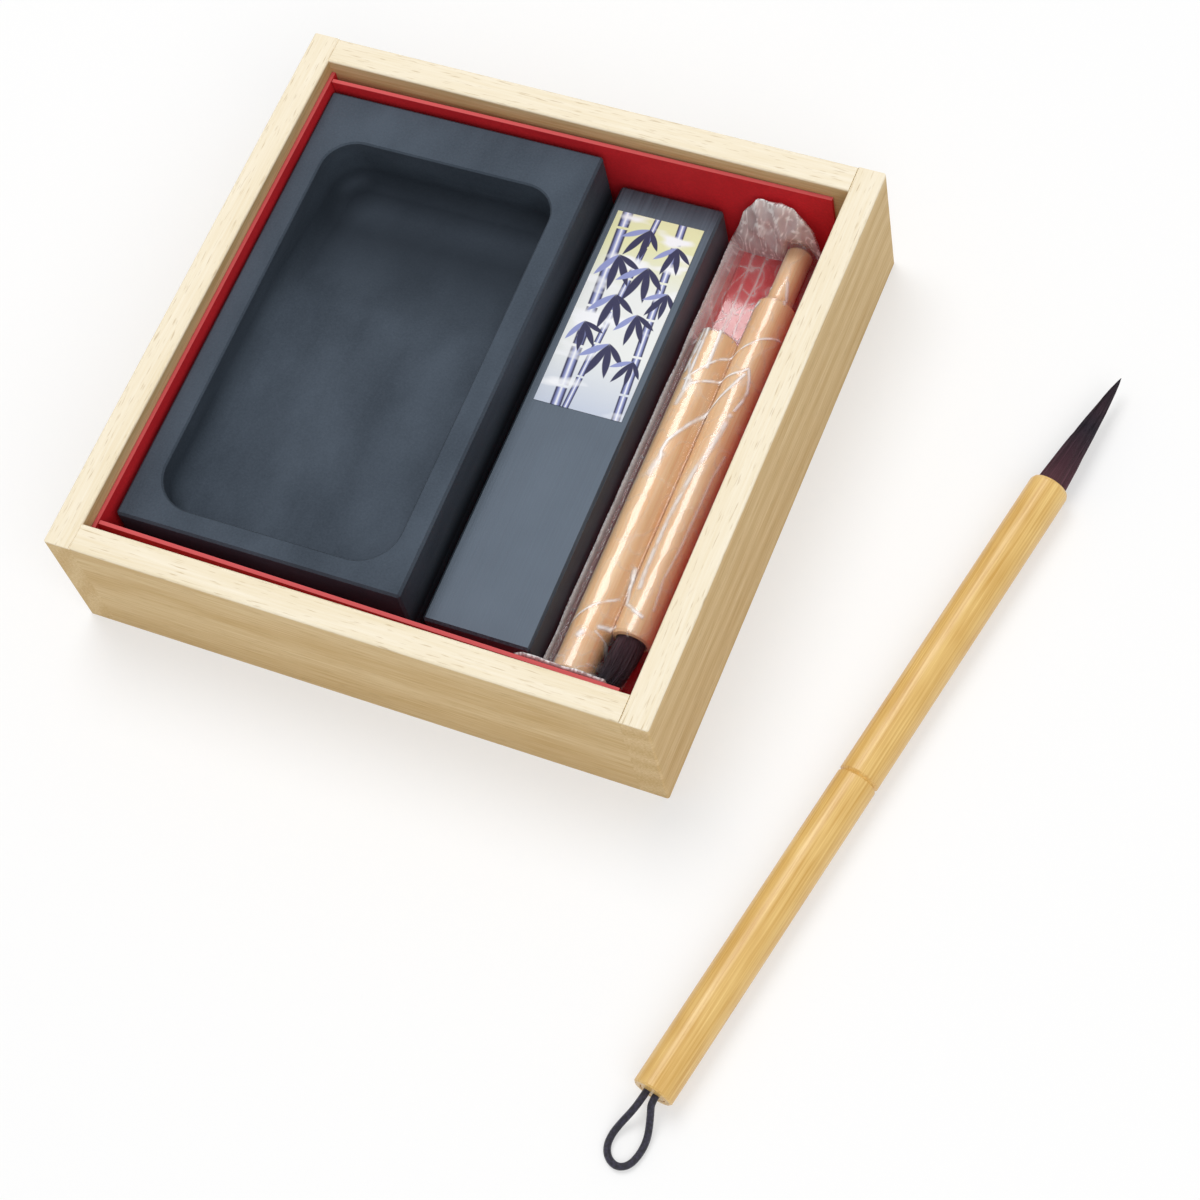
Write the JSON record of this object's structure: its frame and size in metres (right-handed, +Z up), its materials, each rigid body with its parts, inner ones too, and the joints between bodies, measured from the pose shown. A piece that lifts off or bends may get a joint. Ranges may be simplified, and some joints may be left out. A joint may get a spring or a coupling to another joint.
{
  "type": "calligraphy set box",
  "caption": "Open wooden box with a card tray that holds an inkstone, an ink stick and a take-apart brush in film, with the brush put together lying beside it.",
  "frame": {"origin": "middle of the box's underside, on the surface that the box and the brush stand on", "axes": "+X to the right along the front wall, +Y from the front wall to the back wall, +Z up"},
  "size_m": [0.1772, 0.1939, 0.0305],
  "materials": {
    "box_wood": "plain sanded pale wood, no varnish",
    "red_card": "matt red face paper",
    "slate": "honed, fine, dull",
    "ink": "pressed soot and glue, satin, fine lengthwise lines",
    "label_paper": "printed paper, matt",
    "clear_film": "clear, thin, crinkled, glossy",
    "handle_wood": "turned, lightly varnished, satin",
    "thread": "bound sewing thread",
    "hair": "fine dyed animal hair",
    "cord": "thin braided cord"
  },
  "bodies": {
    "box": {"left_wall": "box_wood", "right_wall": "box_wood", "front_wall": "box_wood", "back_wall": "box_wood", "bottom_board": "box_wood"},
    "tray": {"card_tray": "red_card"},
    "stone": {"inkstone": "slate"},
    "ink": {"ink_stick": "ink", "ink_stick_label": "label_paper"},
    "packet": {"brush_bag": "clear_film", "packed_front_handle": "handle_wood", "packed_rear_handle": "handle_wood", "packed_end_plug": "handle_wood", "packed_tuft_binding": "thread", "packed_tuft": "hair"},
    "brush_rear": {"rear_handle": "handle_wood", "end_plug": "handle_wood", "hanging_loop": "cord"},
    "brush_front": {"front_handle": "handle_wood", "tuft_binding": "thread", "tuft": "hair"}
  },
  "joints": [
    {"name": "tray_lift", "type": "slide", "parent": "box", "child": "tray", "axis": [0, 0, 1], "range_m": [0, 0.05]},
    {"name": "stone_lift", "type": "slide", "parent": "tray", "child": "stone", "axis": [0, 0, 1], "range_m": [0, 0.05]},
    {"name": "ink_lift", "type": "slide", "parent": "tray", "child": "ink", "axis": [0, 0, 1], "range_m": [0, 0.05]},
    {"name": "packet_lift", "type": "slide", "parent": "tray", "child": "packet", "axis": [0, 0, 1], "range_m": [0, 0.05]},
    {"name": "brush_lift", "type": "slide", "parent": "box", "child": "brush_rear", "axis": [0, 0, 1], "range_m": [0, 0.05]},
    {"name": "brush_pull", "type": "slide", "parent": "brush_rear", "child": "brush_front", "axis": [0.1977, 0.9803, 0], "range_m": [0, 0.016]}
  ]
}
